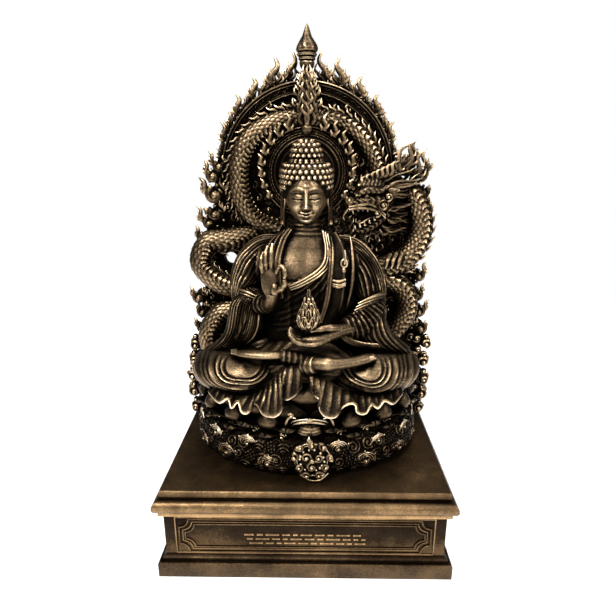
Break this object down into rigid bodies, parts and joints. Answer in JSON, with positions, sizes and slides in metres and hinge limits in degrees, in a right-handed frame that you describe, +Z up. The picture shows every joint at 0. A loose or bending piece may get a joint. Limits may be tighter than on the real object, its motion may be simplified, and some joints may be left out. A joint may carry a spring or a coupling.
{
  "type": "seated buddha statuette on a plinth",
  "caption": "Bronze-finish seated buddha on a lotus throne before a flaming dragon aureole, on a moulded rectangular plinth.",
  "frame": {"origin": "middle of the plinth's underside", "axes": "+Z up, -Y towards the front that carries the panel, +X to the viewer's right"},
  "size_m": [0.168, 0.138, 0.304],
  "materials": {
    "plinth_bronze": "dark brown satin bronze patina with golden rubbed mouldings",
    "statue_bronze": "antique bronze, near-black brown in the recesses and rubbed golden on the raised parts"
  },
  "bodies": {
    "root": {"plinth": "plinth_bronze", "buddha_on_lotus_throne": "statue_bronze", "dragon_aureole": "statue_bronze"}
  },
  "joints": []
}
